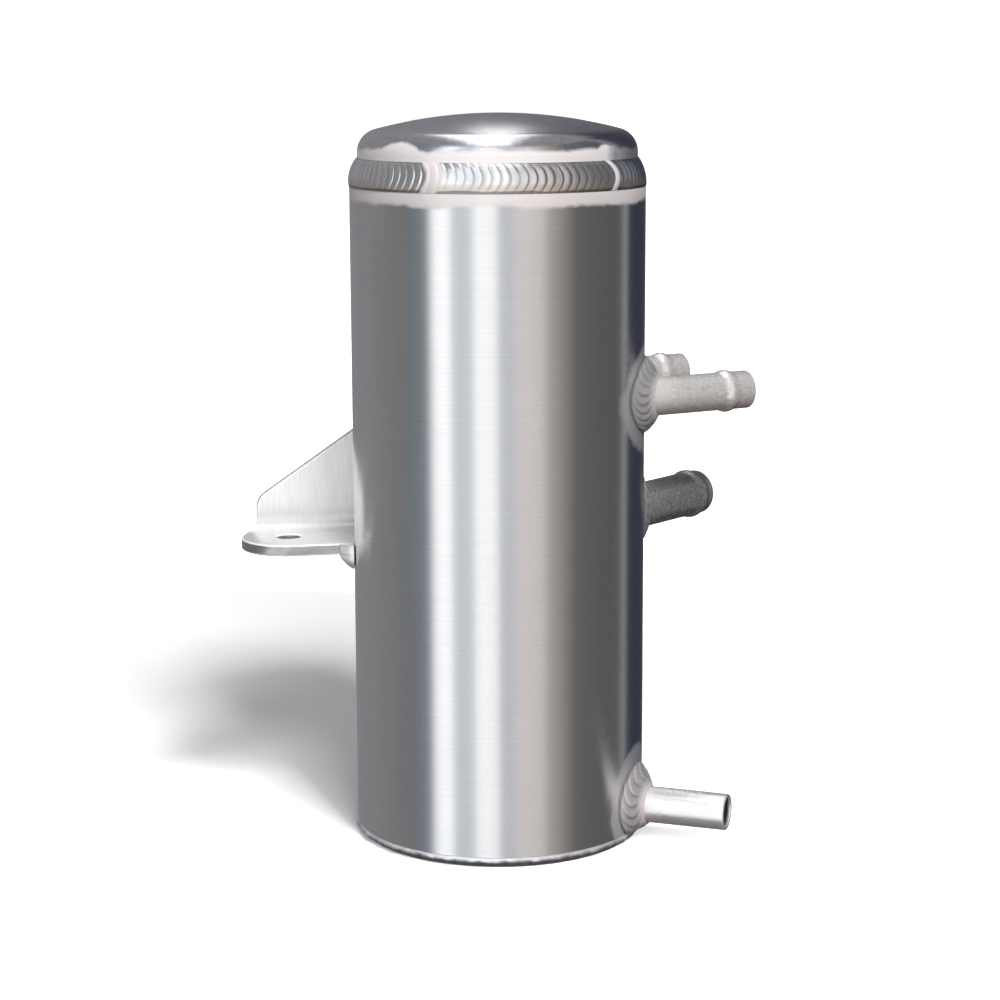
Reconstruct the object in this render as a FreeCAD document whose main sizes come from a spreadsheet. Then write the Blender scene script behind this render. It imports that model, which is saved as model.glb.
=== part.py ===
import FreeCAD, Part
import math
import os
import re

import Sketcher

# A welded oil catch can: a round aluminium tank standing on end, with a domed cap,
# four hose spigots and one folded mounting bracket.
# Millimetres and degrees. The tank stands on z = 0 with its axis on z, and the
# bracket points to -x.

SIZES = {
    # tank
    "tube_diameter": 76.2,
    "tube_wall": 2.0,
    "tube_length": 171.2,
    "tube_bevel_height": 3.4,
    "base_thickness": 3.0,
    "base_rim_step": 1.7,
    # cap
    "cap_gap": 0.1,
    "cap_sheet": 2.0,
    "cap_height": 23.0,
    "cap_insert": 8.0,
    "cap_crown_radius": 125.0,
    "cap_knuckle_radius": 6.0,
    # baffle
    "baffle_over_middle_spigot": 8.0,
    "baffle_sheet": 2.0,
    "baffle_gap": 0.3,
    "baffle_hole": 10.0,
    "baffle_ring": 20.0,
    "baffle_holes": 4,
    "baffle_tacks": 3,
    "baffle_tack_leg": 2.4,
    "baffle_tack_length": 6.0,
    "baffle_tack_turn": 100.0,
    # spigots: the turn is counted from +x, the offset is the distance of the pipe's
    # axis from the tank's axis, and the reach is the length outside the tube
    "spigot_wall": 1.0,
    "spigot_hole_gap": 0.1,
    "spigot_inside": 2.0,
    "hose_bead_height": 0.6,
    "hose_bead_length": 4.6,
    "upper_outer": 10.0,
    "upper_over_baffle": 11.3,
    "upper_turn": 18.0,
    "upper_bead_setback": 7.0,
    "upper_front_reach": 31.6,
    "upper_rear_reach": 33.0,
    "upper_front_offset": 22.0,
    "upper_rear_offset": 17.0,
    "middle_outer": 12.0,
    "middle_height": 84.0,
    "middle_turn": 40.0,
    "middle_bead_setback": 4.4,
    "middle_reach": 29.8,
    "middle_offset": 19.0,
    "drain_outer": 9.5,
    "drain_height": 9.6,
    "drain_turn": -30.0,
    "drain_reach": 25.0,
    # bracket
    "bracket_sheet": 3.0,
    "bracket_top": 77.6,
    "bracket_reach": 54.0,
    "bracket_hole": 6.5,
    "bracket_hole_side": 16.5,
    "bracket_end_radius": 12.5,
    "bracket_width": 25.5,
    "bracket_bend": 4.0,
    "bracket_tube_gap": 0.1,
    "gusset_low_rise": 8.5,
    "gusset_high_rise": 34.0,
    "gusset_corner_radius": 5.0,
    # welds
    "weld_gap": 0.08,
    "cap_weld_rise": 3.9,
    "cap_weld_bulge": 0.65,
    "cap_weld_ripple": 0.15,
    "cap_weld_ripples": 106,
    "base_weld_floor": 0.12,
    "base_weld_bulge": 0.8,
    "base_weld_ripple": 0.11,
    "base_weld_ripples": 44,
    "spigot_weld_leg": 4.4,
    "spigot_weld_spread": 5.0,
    "spigot_weld_rise": 0.9,
    "spigot_weld_ripples": 18,
    "drain_weld_leg": 4.0,
    "drain_weld_spread": 5.6,
    "bracket_weld_leg": 3.8,
    "bracket_weld_pitch": 2.3,
    "fillet_bulge": 0.35,
    "fillet_ripple": 0.15,
    # how far a cut runs past the piece that it trims
    "trim_margin": 1.0,
}

# Lengths that several pieces share
TUBE_RADIUS = "tube_diameter / 2"
TUBE_BORE = "(tube_diameter / 2 - tube_wall)"
TUBE_TOP = "(base_thickness + tube_length)"
BAFFLE_HEIGHT = "(middle_height + middle_outer / 2 + baffle_over_middle_spigot)"
BAFFLE_TOP = f"({BAFFLE_HEIGHT} + baffle_sheet)"
UPPER_HEIGHT = f"({BAFFLE_TOP} + upper_over_baffle + upper_outer / 2)"
CAP_RADIUS = "(tube_diameter / 2 - tube_wall - cap_gap)"
BASE_RADIUS = "(tube_diameter / 2 - base_rim_step)"
BRACKET_FRONT = "(bracket_hole_side - bracket_end_radius)"
BRACKET_REAR = "(bracket_hole_side - bracket_end_radius + bracket_width)"
BRACKET_END = "(bracket_reach + bracket_end_radius)"
GUSSET_FACE = f"({BRACKET_REAR} - bracket_sheet)"
GUSSET_EDGE = (
    "(bracket_reach"
    f" + sqrt(pow(bracket_end_radius; 2) - pow({GUSSET_FACE} - bracket_hole_side; 2)))"
)

SPIGOTS = {
    "upper_front_spigot": {
        "outer": "upper_outer",
        "height": UPPER_HEIGHT,
        "turn": "upper_turn",
        "offset": "upper_front_offset",
        "reach": "upper_front_reach",
        "bead_setback": "upper_bead_setback",
        "weld_leg": "spigot_weld_leg",
        "weld_spread": "spigot_weld_spread",
    },
    "upper_rear_spigot": {
        "outer": "upper_outer",
        "height": UPPER_HEIGHT,
        "turn": "upper_turn",
        "offset": "(0 - upper_rear_offset)",
        "reach": "upper_rear_reach",
        "bead_setback": "upper_bead_setback",
        "weld_leg": "spigot_weld_leg",
        "weld_spread": "spigot_weld_spread",
    },
    "middle_spigot": {
        "outer": "middle_outer",
        "height": "middle_height",
        "turn": "middle_turn",
        "offset": "middle_offset",
        "reach": "middle_reach",
        "bead_setback": "middle_bead_setback",
        "weld_leg": "spigot_weld_leg",
        "weld_spread": "spigot_weld_spread",
    },
    "drain_spigot": {
        "outer": "drain_outer",
        "height": "drain_height",
        "turn": "drain_turn",
        "offset": "0",
        "reach": "drain_reach",
        "bead_setback": None,
        "weld_leg": "drain_weld_leg",
        "weld_spread": "drain_weld_spread",
    },
}

doc = FreeCAD.newDocument("oil_catch_can")
sheet = doc.addObject("Spreadsheet::Sheet", "Sizes")
nodes = []


def fill_sheet():
    for row, (name, value) in enumerate(SIZES.items(), start=1):
        sheet.set(f"A{row}", name)
        sheet.set(f"B{row}", str(value))
        sheet.setAlias(f"B{row}", name)
    doc.recompute()


def named(expression):
    """The expression with each size looked up in the sheet."""
    return re.sub(r"\b([a-z]+_[a-z_]+)\b", r"Sizes.\1", expression)


def size(expression):
    """The value of an expression of named sizes."""
    return float(sheet.evalExpression(named(expression)))


def bind(thing, **expressions):
    for name, expression in expressions.items():
        thing.setExpression(name, named(expression))


def place(thing, x="0", y="0", z="0", turn="0", tilt="0"):
    """Bind where a thing stands, its turn about z and its lean about its own y."""
    spot = f"placement(vector({x}; {y}; {z}); rotationz({turn}) * rotationy({tilt}))"
    thing.setExpression("Placement", named(spot))


def keep(thing, label):
    """Make a finished thing one of the part's nodes."""
    thing.Label = label
    nodes.append(thing)
    return thing


# Sketches and bodies


def start_body(name):
    return doc.addObject("PartDesign::Body", name)


def sketch_on(body, plane, name):
    """A new sketch on one of the body's own origin planes."""
    sketch = body.newObject("Sketcher::SketchObject", name)
    face = next(p for p in body.Origin.OriginFeatures if p.Role == plane)
    sketch.AttachmentSupport = [(face, "")]
    sketch.MapMode = "FlatFace"
    return sketch


def fix_point(sketch, line, end, x, y):
    """Hold a point of a sketch at the given distances from its origin."""
    for kind, axis, expression in (("DistanceX", -2, x), ("DistanceY", -1, y)):
        distance = size(expression)
        if abs(distance) < 1e-9:
            sketch.addConstraint(Sketcher.Constraint("PointOnObject", line, end, axis))
            continue
        index = sketch.addConstraint(Sketcher.Constraint(kind, -1, 1, line, end, distance))
        sketch.setExpression(f"Constraints[{index}]", named(expression))


def short_arc(start, end, radius):
    """The short arc that turns left from start to end."""
    chord = end - start
    left = FreeCAD.Vector(-chord.y, chord.x, 0).normalize()
    depth = math.sqrt(radius**2 - (chord.Length / 2) ** 2)
    centre = start + chord * 0.5 + left * depth
    first = math.atan2(start.y - centre.y, start.x - centre.x)
    last = math.atan2(end.y - centre.y, end.x - centre.x)
    if last < first:
        last += 2 * math.pi
    return Part.ArcOfCircle(Part.Circle(centre, FreeCAD.Vector(0, 0, 1), radius), first, last)


def outline(sketch, corners):
    """A closed outline through corners (x, y).

    A corner (x, y, radius) has an arc after it that turns left, and a corner
    (x, y, radius, "hollow") one that turns right.
    """
    points = [FreeCAD.Vector(size(c[0]), size(c[1]), 0) for c in corners]
    count = len(corners)
    ends = []
    for i, corner in enumerate(corners):
        here, there = points[i], points[(i + 1) % count]
        if len(corner) == 2:
            line = sketch.addGeometry(Part.LineSegment(here, there))
            ends.append((line, 1, 2))
            continue
        radius = size(corner[2])
        if "hollow" in corner:
            line = sketch.addGeometry(short_arc(there, here, radius))
            ends.append((line, 2, 1))
        else:
            line = sketch.addGeometry(short_arc(here, there, radius))
            ends.append((line, 1, 2))
        index = sketch.addConstraint(Sketcher.Constraint("Radius", line, size(corner[2])))
        sketch.setExpression(f"Constraints[{index}]", named(corner[2]))
    for i, corner in enumerate(corners):
        line, first, _ = ends[i]
        before, _, last = ends[i - 1]
        sketch.addConstraint(Sketcher.Constraint("Coincident", before, last, line, first))
        fix_point(sketch, line, first, corner[0], corner[1])


def circle(sketch, x, y, radius):
    line = sketch.addGeometry(
        Part.Circle(FreeCAD.Vector(size(x), size(y), 0), FreeCAD.Vector(0, 0, 1), size(radius))
    )
    index = sketch.addConstraint(Sketcher.Constraint("Radius", line, size(radius)))
    sketch.setExpression(f"Constraints[{index}]", named(radius))
    fix_point(sketch, line, 3, x, y)


def revolve(body, sketch, axis):
    turned = body.newObject("PartDesign::Revolution", body.Name + "_revolved")
    turned.Profile = sketch
    turned.ReferenceAxis = (sketch, [axis])
    turned.Angle = 360
    doc.recompute()
    return turned


def pad(body, sketch, length, name, backwards=False):
    padded = body.newObject("PartDesign::Pad", name)
    padded.Profile = sketch
    padded.Reversed = backwards
    bind(padded, Length=length)
    doc.recompute()
    return padded


def cut_through(body, sketch, name):
    """A pocket through the whole body, both ways from the sketch."""
    pocket = body.newObject("PartDesign::Pocket", name)
    pocket.Profile = sketch
    pocket.Type = "ThroughAll"
    pocket.Midplane = True
    doc.recompute()
    return pocket


def edges_where(feature, wanted):
    return [f"Edge{i}" for i, edge in enumerate(feature.Shape.Edges, start=1) if wanted(edge)]


def is_across(edge, x, z):
    """Whether an edge runs along y at this place."""
    ends = [v.Point for v in edge.Vertexes]
    return len(ends) == 2 and all(abs(p.x - x) < 1e-3 and abs(p.z - z) < 1e-3 for p in ends)


def round_edges(body, feature, edges, radius, name):
    rounded = body.newObject("PartDesign::Fillet", name)
    rounded.Base = (feature, edges)
    bind(rounded, Radius=radius)
    doc.recompute()
    return rounded


# Solids and booleans


def rod(name, radius, length, **spot):
    solid = doc.addObject("Part::Cylinder", name)
    bind(solid, Radius=radius, Height=length)
    place(solid, **spot)
    return solid


def join(name, pieces):
    joined = doc.addObject("Part::MultiFuse", name)
    joined.Shapes = pieces
    doc.recompute()
    return joined


def cut(name, base, tool):
    rest = doc.addObject("Part::Cut", name)
    rest.Base = base
    rest.Tool = tool
    doc.recompute()
    return rest


# Weld beads with ripples


def rippled_bead(name, ripples, face_point, root_points, closed=True, steps=3, bow=0.8):
    """A bead made of overlapping ripples, each bowed back at its middle, or on if bow < 0.

    face_point(way, across, height) gives a point of the bead's face, and
    root_points(way) the points that close its section behind the face. way runs
    from 0 to 1 along the joint and across from 0 to 1 over the face. height is 1
    on a ripple's crest and -1 in the hollow after it.
    """
    points = []
    hollow = 0.3 if bow < 0 else 0.7
    for ripple in range(ripples):
        for share, height in ((0.0, 1.0), (hollow, -1.0)):
            for step in range(steps + 1):
                across = step / steps
                way = (ripple + share - bow * arch(across)) / ripples
                points.append(face_point(way, across, height))
            points.extend(root_points((ripple + share) / ripples))
    rows = 2 * ripples
    width = len(points) // rows
    facets = []
    for row in range(rows if closed else rows - 1):
        here = row * width
        there = ((row + 1) % rows) * width
        for i in range(width):
            j = (i + 1) % width
            facets.append((here + i, there + i, there + j))
            facets.append((here + i, there + j, here + j))
    if not closed:
        last = (rows - 1) * width
        for i in range(1, width - 1):
            facets.append((0, i, i + 1))
            facets.append((last, last + i + 1, last + i))
    shell = Part.Shape()
    shell.makeShapeFromMesh((points, facets), 0.0005)
    solid = Part.makeSolid(shell)
    if solid.Volume < 0:
        solid.reverse()
    bead = doc.addObject("Part::Feature", name)
    bead.Shape = solid
    place(bead)
    return keep(bead, name)


def arch(across):
    """0 at both toes of a bead and 1 at its middle."""
    return 4 * across * (1 - across)


def ring_point(radius, height, way):
    angle = 2 * math.pi * way
    return FreeCAD.Vector(radius * math.cos(angle), radius * math.sin(angle), height)


def cap_seam_weld():
    """The bead that closes the cap to the bevelled top edge of the tube."""
    gap = size("weld_gap")
    low_radius, low = size(TUBE_RADIUS) + gap, size(f"{TUBE_TOP} - tube_bevel_height")
    high_radius, high = size(CAP_RADIUS) + gap, size(f"{TUBE_TOP} + cap_weld_rise")
    bulge, ripple = size("cap_weld_bulge"), size("cap_weld_ripple")

    def face_point(way, across, height):
        lift = arch(across) * (bulge + ripple * height)
        radius = low_radius + (high_radius - low_radius) * across + lift
        return ring_point(radius, low + (high - low) * across + 0.3 * lift, way)

    def root_points(way):
        return [ring_point(high_radius, size(TUBE_TOP) + gap, way)]

    ripples = int(size("cap_weld_ripples"))
    rippled_bead("cap_seam_weld", ripples, face_point, root_points, bow=-0.8)


def base_seam_weld():
    """The corner bead between the tube's lower end and the rim of the base."""
    gap = size("weld_gap")
    top, floor = size("base_thickness") - gap, size("base_weld_floor")
    rim, outside = size(BASE_RADIUS) + gap, size(TUBE_RADIUS) - gap
    bulge, ripple = size("base_weld_bulge"), size("base_weld_ripple")

    def face_point(way, across, height):
        lift = arch(across) * (bulge + ripple * height)
        radius = outside + (rim - outside) * across + lift
        return ring_point(radius, top + (floor - top) * across, way)

    def root_points(way):
        return [ring_point(rim, top, way)]

    ripples = int(size("base_weld_ripples"))
    rippled_bead("base_seam_weld", ripples, face_point, root_points, bow=0.5)


def spigot_spot(spigot, tilt="0"):
    """Where a spigot's own frame stands: its x axis runs out along the pipe."""
    return {
        "x": f"{spigot['offset']} * sin({spigot['turn']})",
        "y": f"0 - {spigot['offset']} * cos({spigot['turn']})",
        "z": spigot["height"],
        "turn": spigot["turn"],
        "tilt": tilt,
    }


def spigot_weld(name, spigot):
    """A fillet bead round the root of a spigot, which stays above the base seam."""
    gap = size("weld_gap")
    wall = size(TUBE_RADIUS) + gap
    offset, leg = size(spigot["offset"]), size(spigot["weld_leg"])
    spread, rise = size(spigot["weld_spread"]), size("spigot_weld_rise")
    ripples = int(size("spigot_weld_ripples"))
    pipe = (size(f"{spigot['outer']} / 2") + gap) / math.cos(0.7 * math.pi / ripples)
    floor = size(f"base_thickness - {spigot['height']}") + gap
    bulge, ripple = size("fillet_bulge"), size("fillet_ripple")

    def on_tube(radius, angle, lift=0.0):
        """A point just off the tube's wall at this distance from the pipe's axis."""
        side = radius * math.sin(angle)
        out = math.sqrt(wall**2 - (side - offset) ** 2)
        return FreeCAD.Vector(out, side, max(radius * math.cos(angle) + lift, floor))

    def face_point(way, across, height):
        angle = 2 * math.pi * way
        tube_toe = on_tube(pipe + spread, angle, rise)
        pipe_toe = on_tube(pipe, angle) + FreeCAD.Vector(leg, 0, 0)
        outwards = FreeCAD.Vector(1, math.sin(angle), math.cos(angle)).normalize()
        lift = arch(across) * (bulge + ripple * height)
        return tube_toe + (pipe_toe - tube_toe) * across + outwards * lift

    def root_points(way):
        angle = 2 * math.pi * way
        return [on_tube(pipe + spread * share, angle, rise * share) for share in (0, 1 / 3, 2 / 3)]

    bead = rippled_bead(name + "_weld", ripples, face_point, root_points)
    place(bead, **spigot_spot(spigot))


def fillet_weld(name, length, leg, joint):
    """An open fillet bead. joint(way) gives the corner and the ways of its two legs."""
    clear = 2 * size("weld_gap")
    bulge, ripple = size("fillet_bulge"), size("fillet_ripple")

    def outwards(first_leg, second_leg):
        return (first_leg + second_leg).normalize()

    def face_point(way, across, height):
        corner, first_leg, second_leg = joint(way)
        lift = clear + arch(across) * (bulge + ripple * height)
        toes = first_leg * (1 - across) + second_leg * across
        return corner + toes * leg + outwards(first_leg, second_leg) * lift

    def root_points(way):
        corner, first_leg, second_leg = joint(way)
        return [corner + outwards(first_leg, second_leg) * clear]

    ripples = round(length / size("bracket_weld_pitch"))
    rippled_bead(name, ripples, face_point, root_points, closed=False, bow=0)


def tube_frame(side):
    """On the tube's bracket side at a distance from the axis: a point, the way out and round."""
    radius = size(TUBE_RADIUS)
    out = FreeCAD.Vector(-math.sqrt(radius**2 - side**2), side, 0) * (1 / radius)
    return out * radius, out, FreeCAD.Vector(-out.y, out.x, 0)


def bracket_foot_weld():
    """The bead under the foot, which turns up round the foot's front edge."""
    radius = size(TUBE_RADIUS)
    front, under = size(BRACKET_FRONT), size("bracket_top - bracket_sheet")
    flat_end = size(f"{BRACKET_REAR} - bracket_bend - bracket_sheet")
    down = FreeCAD.Vector(0, 0, -1)
    leg = size("bracket_weld_leg")
    rise = size("bracket_sheet")
    first = math.asin(front / radius)
    length = rise + leg + radius * (math.asin(flat_end / radius) - first)

    def joint(way):
        run = way * length
        if run > rise + leg:
            spot, out, _ = tube_frame(radius * math.sin(first + (run - rise - leg) / radius))
            spot.z = under
            return spot, down, out
        spot, out, round_tube = tube_frame(front)
        spot.z = under + max(0.0, rise - run)
        turned = max(0.0, run - rise) / leg
        lean = turned * math.pi / 2
        along_edge = FreeCAD.Vector(-1, 0, 0) * (1 - turned) + out * turned
        return spot, round_tube * math.cos(lean) + down * math.sin(lean), along_edge

    fillet_weld("bracket_foot_weld", length, leg, joint)


def bracket_gusset_weld():
    """The upright bead on the gusset's rear face."""
    spot, out, round_tube = tube_frame(size(BRACKET_REAR))
    low = size("bracket_top + bracket_bend + bracket_sheet")
    length = size("gusset_high_rise - bracket_bend - bracket_sheet * 2")

    def joint(way):
        corner = FreeCAD.Vector(spot.x, spot.y, low + way * length)
        return corner, round_tube * -1, FreeCAD.Vector(-1, 0, 0)

    fillet_weld("bracket_gusset_weld", length, size("bracket_weld_leg"), joint)


def baffle_tack_welds():
    """Short beads that hold the baffle from above, spread evenly round the wall."""
    bore, top = size(TUBE_BORE), size(BAFFLE_TOP)
    length, count = size("baffle_tack_length"), int(size("baffle_tacks"))
    for i in range(count):
        turn = math.radians(size("baffle_tack_turn") + i * 360 / count)

        def joint(way):
            angle = turn + (way - 0.5) * length / bore
            inwards = FreeCAD.Vector(-math.cos(angle), -math.sin(angle), 0)
            corner = inwards * -bore
            corner.z = top
            return corner, FreeCAD.Vector(0, 0, 1), inwards

        fillet_weld(f"baffle_tack_weld_{i + 1}", length, size("baffle_tack_leg"), joint)


# Pieces


def body_tube():
    """The round tube, bevelled to a sharp top edge for its seam, with the spigots' holes."""
    body = start_body("tube_blank")
    sketch = sketch_on(body, "XZ_Plane", "tube_section")
    outline(
        sketch,
        [
            (TUBE_BORE, "0"),
            (TUBE_RADIUS, "0"),
            (TUBE_RADIUS, "tube_length - tube_bevel_height"),
            (TUBE_BORE, "tube_length"),
        ],
    )
    revolve(body, sketch, "V_Axis")
    place(body, z="base_thickness")
    holes = [
        rod(
            name + "_hole",
            f"{spigot['outer']} / 2 + spigot_hole_gap",
            "tube_diameter",
            **spigot_spot(spigot, tilt="90"),
        )
        for name, spigot in SPIGOTS.items()
    ]
    tube = cut("body_tube", body, join("spigot_holes", holes))
    place(tube)
    return keep(tube, "body_tube")


def dished_side(radius, crown, knuckle, top, knuckle_steps, crown_steps):
    """Corners from the skirt over the knuckle to the top of a dished head."""
    depth = f"sqrt(pow({crown} - {knuckle}; 2) - pow({radius} - {knuckle}; 2))"
    crown_centre = f"({top} - {crown})"
    lean = f"asin(({radius} - {knuckle}) / ({crown} - {knuckle}))"
    corners = []
    for i in range(knuckle_steps):
        turn = f"((90 deg - {lean}) * {i} / {knuckle_steps})"
        across = f"{radius} - {knuckle} + {knuckle} * cos({turn})"
        corners.append((across, f"{crown_centre} + {depth} + {knuckle} * sin({turn})"))
    for i in range(crown_steps):
        turn = f"({lean} * {crown_steps - i} / {crown_steps})"
        corners.append((f"{crown} * sin({turn})", f"{crown_centre} + {crown} * cos({turn})"))
    return corners + [("0", top)]


def domed_cap():
    """The pressed cap: a straight skirt, a tight knuckle and a shallow crown."""
    body = start_body("domed_cap")
    sketch = sketch_on(body, "XZ_Plane", "cap_section")
    inner_radius = f"({CAP_RADIUS} - cap_sheet)"
    inner_crown = "(cap_crown_radius - cap_sheet)"
    inner_knuckle = "(cap_knuckle_radius - cap_sheet)"
    inner_top = "(cap_height - cap_sheet)"
    outside = dished_side(
        CAP_RADIUS, "cap_crown_radius", "cap_knuckle_radius", "cap_height", 3, 3
    )
    inside = dished_side(inner_radius, inner_crown, inner_knuckle, inner_top, 1, 1)
    skirt = [(inner_radius, "0"), (CAP_RADIUS, "0")]
    outline(sketch, skirt + outside + inside[::-1])
    revolve(body, sketch, "V_Axis")
    place(body, z=f"{TUBE_TOP} - cap_insert")
    return keep(body, "domed_cap")


def base_plate():
    """The flat disc that closes the bottom, on which the tank stands."""
    body = start_body("base_plate")
    sketch = sketch_on(body, "XZ_Plane", "base_section")
    outline(
        sketch,
        [
            ("0", "0"),
            (BASE_RADIUS, "0"),
            (BASE_RADIUS, "base_thickness"),
            ("0", "base_thickness"),
        ],
    )
    revolve(body, sketch, "V_Axis")
    place(body)
    return keep(body, "base_plate")


def baffle_plate():
    """The drilled disc inside, which the gas has to pass on its way up."""
    body = start_body("baffle_plate")
    sketch = sketch_on(body, "XY_Plane", "baffle_outline")
    circle(sketch, "0", "0", f"{TUBE_BORE} - baffle_gap")
    pad(body, sketch, "baffle_sheet", "baffle_disc")
    hole = sketch_on(body, "XY_Plane", "baffle_hole_outline")
    circle(hole, "baffle_ring", "0", "baffle_hole / 2")
    drilled = cut_through(body, hole, "drilled_hole")
    pattern = body.newObject("PartDesign::PolarPattern", "drilled_ring")
    pattern.Originals = [drilled]
    pattern.Axis = (hole, ["N_Axis"])
    pattern.Angle = 360
    bind(pattern, Occurrences="baffle_holes")
    body.Tip = pattern
    doc.recompute()
    place(body, z=BAFFLE_HEIGHT)
    return keep(body, "baffle_plate")


def spigot(name, spec):
    """A length of pipe through the wall, with or without a rolled hose bead."""
    body = start_body(name)
    sketch = sketch_on(body, "XZ_Plane", name + "_section")
    outer = f"{spec['outer']} / 2"
    bore = f"({outer} - spigot_wall)"
    far_side = f"(abs({spec['offset']}) + {outer})"
    start = f"sqrt(pow({TUBE_BORE}; 2) - pow({far_side}; 2)) - spigot_inside"
    tip = f"sqrt(pow({TUBE_RADIUS}; 2) - pow({spec['offset']}; 2)) + {spec['reach']}"
    corners = [(start, bore), (tip, bore), (tip, outer)]
    if spec["bead_setback"]:
        middle = f"{tip} - {spec['bead_setback']}"
        crest = f"{outer} + hose_bead_height"
        corners.append((f"{middle} + hose_bead_length / 2", outer))
        corners.append((middle, crest))
        corners.append((f"{middle} - hose_bead_length / 2", outer))
    corners.append((start, outer))
    outline(sketch, corners)
    revolve(body, sketch, "H_Axis")
    place(body, **spigot_spot(spec))
    return keep(body, name)


def mounting_bracket():
    """One piece of folded sheet: a flat foot with a round end, and an upright gusset."""
    body = start_body("mounting_bracket")
    fold_bracket(body)
    trim_plan(body)
    trim_gusset(body)
    for name, x, y, radius in (
        ("bolt_hole", "0 - bracket_reach", "bracket_hole_side", "bracket_hole / 2"),
        ("tube_seat", "0", "0", f"{TUBE_RADIUS} + bracket_tube_gap"),
    ):
        sketch = sketch_on(body, "XY_Plane", name + "_outline")
        circle(sketch, x, y, radius)
        cut_through(body, sketch, name)
    place(body)
    return keep(body, "mounting_bracket")


def fold_bracket(body):
    """The folded section, drawn from the viewer's side to the rear, out to the foot's end."""
    fold = sketch_on(body, "YZ_Plane", "fold_section")
    top, under = "bracket_top", "bracket_top - bracket_sheet"
    bend_top = "bracket_top + bracket_bend"
    crest = "bracket_top + gusset_high_rise"
    outer_bend = "bracket_bend + bracket_sheet"
    outline(
        fold,
        [
            (BRACKET_FRONT, under),
            (f"{BRACKET_REAR} - bracket_bend - bracket_sheet", under, outer_bend),
            (BRACKET_REAR, bend_top),
            (BRACKET_REAR, crest),
            (GUSSET_FACE, crest),
            (GUSSET_FACE, bend_top, "bracket_bend", "hollow"),
            (f"{GUSSET_FACE} - bracket_bend", top),
            (BRACKET_FRONT, top),
        ],
    )
    return pad(body, fold, BRACKET_END, "folded_sheet", backwards=True)


def trim_plan(body):
    """Round the foot's end about its hole, as far as the gusset's straight edge."""
    sketch = sketch_on(body, "XY_Plane", "plan_trim")
    past = f"0 - {BRACKET_END} - trim_margin"
    outline(
        sketch,
        [
            (f"0 - {GUSSET_EDGE}", f"{BRACKET_REAR} + trim_margin"),
            (f"0 - {GUSSET_EDGE}", GUSSET_FACE, "bracket_end_radius"),
            ("0 - bracket_reach", BRACKET_FRONT),
            ("0 - bracket_reach", f"{BRACKET_FRONT} - trim_margin"),
            (past, f"{BRACKET_FRONT} - trim_margin"),
            (past, f"{BRACKET_REAR} + trim_margin"),
        ],
    )
    return cut_through(body, sketch, "trimmed_plan")


def trim_gusset(body):
    """Slope the gusset's upper edge and round its outer corner."""
    sketch = sketch_on(body, "XZ_Plane", "gusset_trim")
    contact = f"sqrt(pow({TUBE_RADIUS}; 2) - pow({BRACKET_REAR}; 2))"
    low, crest = "bracket_top + gusset_low_rise", "bracket_top + gusset_high_rise"
    outline(
        sketch,
        [
            (f"0 - {GUSSET_EDGE}", low),
            (f"0 - {contact}", crest),
            (f"0 - {contact}", f"{crest} + trim_margin"),
            (f"0 - {GUSSET_EDGE} - trim_margin", f"{crest} + trim_margin"),
            (f"0 - {GUSSET_EDGE} - trim_margin", low),
        ],
    )
    sloped = cut_through(body, sketch, "sloped_gusset")
    x, z = -size(GUSSET_EDGE), size(low)
    corner = edges_where(sloped, lambda e: is_across(e, x, z))
    return round_edges(body, sloped, corner, "gusset_corner_radius", "gusset_corner")


fill_sheet()
base_plate()
body_tube()
domed_cap()
baffle_plate()
for spigot_name, spigot_spec in SPIGOTS.items():
    spigot(spigot_name, spigot_spec)
mounting_bracket()
cap_seam_weld()
base_seam_weld()
bracket_foot_weld()
bracket_gusset_weld()
baffle_tack_welds()
for spigot_name, spigot_spec in SPIGOTS.items():
    spigot_weld(spigot_name, spigot_spec)

doc.recompute()
for thing in doc.Objects:
    if "Invalid" in thing.State or "Error" in thing.State:
        raise RuntimeError(f"{thing.Name} did not build: {thing.State}")
os.makedirs("parts", exist_ok=True)
for node in nodes:
    if node.Shape.isNull() or not node.Shape.isValid():
        raise RuntimeError(f"{node.Label} has no valid shape")
    node.Shape.exportStep(f"parts/{node.Label}.step")
    print(node.Label, len(node.Shape.Solids), round(node.Shape.Volume, 1), node.Shape.BoundBox)
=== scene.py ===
import math

import bmesh
import bpy
import numpy as np
from mathutils import Matrix, Vector


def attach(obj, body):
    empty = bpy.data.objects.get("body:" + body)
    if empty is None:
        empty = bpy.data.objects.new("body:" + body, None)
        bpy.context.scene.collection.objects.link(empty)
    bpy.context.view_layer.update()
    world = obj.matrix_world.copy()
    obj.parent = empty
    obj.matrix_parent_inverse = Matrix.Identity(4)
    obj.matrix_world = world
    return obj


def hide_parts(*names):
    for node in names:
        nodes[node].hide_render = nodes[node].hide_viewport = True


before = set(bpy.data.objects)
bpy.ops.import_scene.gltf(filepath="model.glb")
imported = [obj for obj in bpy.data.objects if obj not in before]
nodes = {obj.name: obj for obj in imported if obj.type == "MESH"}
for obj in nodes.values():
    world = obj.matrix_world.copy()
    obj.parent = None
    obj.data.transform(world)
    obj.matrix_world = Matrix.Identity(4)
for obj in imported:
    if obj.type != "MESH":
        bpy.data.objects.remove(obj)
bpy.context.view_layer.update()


# Base plate
# A plain aluminium disc, faced on a lathe and left bare. It closes the bottom and carries the can.
# The short ways to wire up a finish are here too, where they are first used.

PLATE_GREY = (0.66, 0.66, 0.67, 1)


def add(tree, kind, inputs=(), **settings):
    """Add a node to a tree. A socket among the inputs is linked, a value is set."""
    node = tree.nodes.new(kind)
    for key, value in settings.items():
        setattr(node, key, value)
    for key, value in dict(inputs).items():
        if isinstance(value, bpy.types.NodeSocket):
            tree.links.new(value, node.inputs[key])
        else:
            node.inputs[key].default_value = value
    return node


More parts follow.
